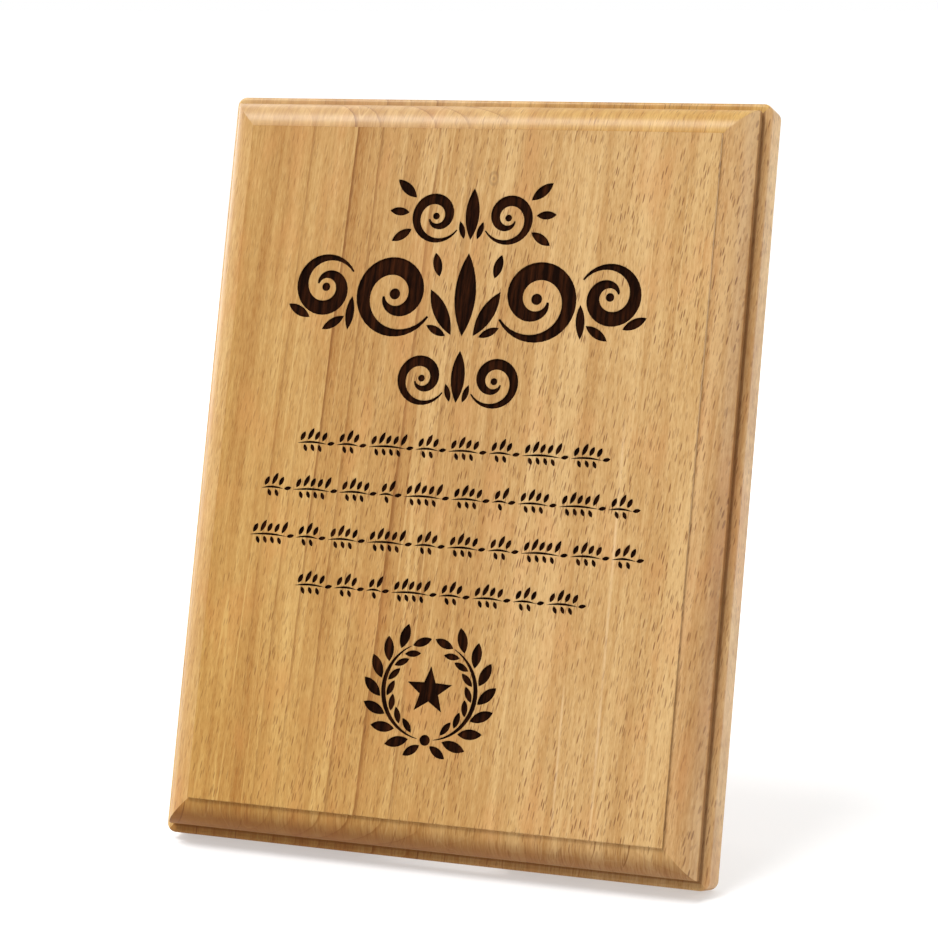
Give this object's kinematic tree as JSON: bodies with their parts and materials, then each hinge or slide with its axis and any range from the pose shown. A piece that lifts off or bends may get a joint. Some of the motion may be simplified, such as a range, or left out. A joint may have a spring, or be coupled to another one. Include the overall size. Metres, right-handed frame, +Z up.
{
  "type": "engraved wooden plaque",
  "caption": "Upright beech plaque with moulded edge and engraved ornament, standing on a hinged easel leg that folds into its back; keyhole hanger for a wall.",
  "frame": {"origin": "on the floor, at the middle of the box around the standing plaque", "axes": "+Z up, -Y the way the engraved face looks (leaning back 15 degrees), +X across the board"},
  "size_m": [0.15, 0.0684, 0.1954],
  "materials": {
    "beech_board": "satin, steamed beech with a burnt dark brown engraving",
    "beech_leg": "satin, plain",
    "brass_hinge": "satin",
    "plated_steel": "zinc plated",
    "black_rubber": "matt"
  },
  "bodies": {
    "board": {"plaque_board": "beech_board", "keyhole_plate": "plated_steel", "keyhole_screws": "plated_steel", "wall_bumpers": "black_rubber", "board_hinge_leaf": "brass_hinge", "board_leaf_screws": "brass_hinge", "hinge_pin": "brass_hinge"},
    "leg": {"easel_leg": "beech_leg", "leg_hinge_leaf": "brass_hinge", "leg_leaf_screws": "brass_hinge", "foot_pad": "black_rubber"}
  },
  "joints": [
    {"name": "leg_fold", "type": "hinge", "parent": "board", "child": "leg", "pos_m": [0, 0.00753, 0.12772], "axis": [-1, 0, 0], "range_deg": [0, 21.5]}
  ]
}
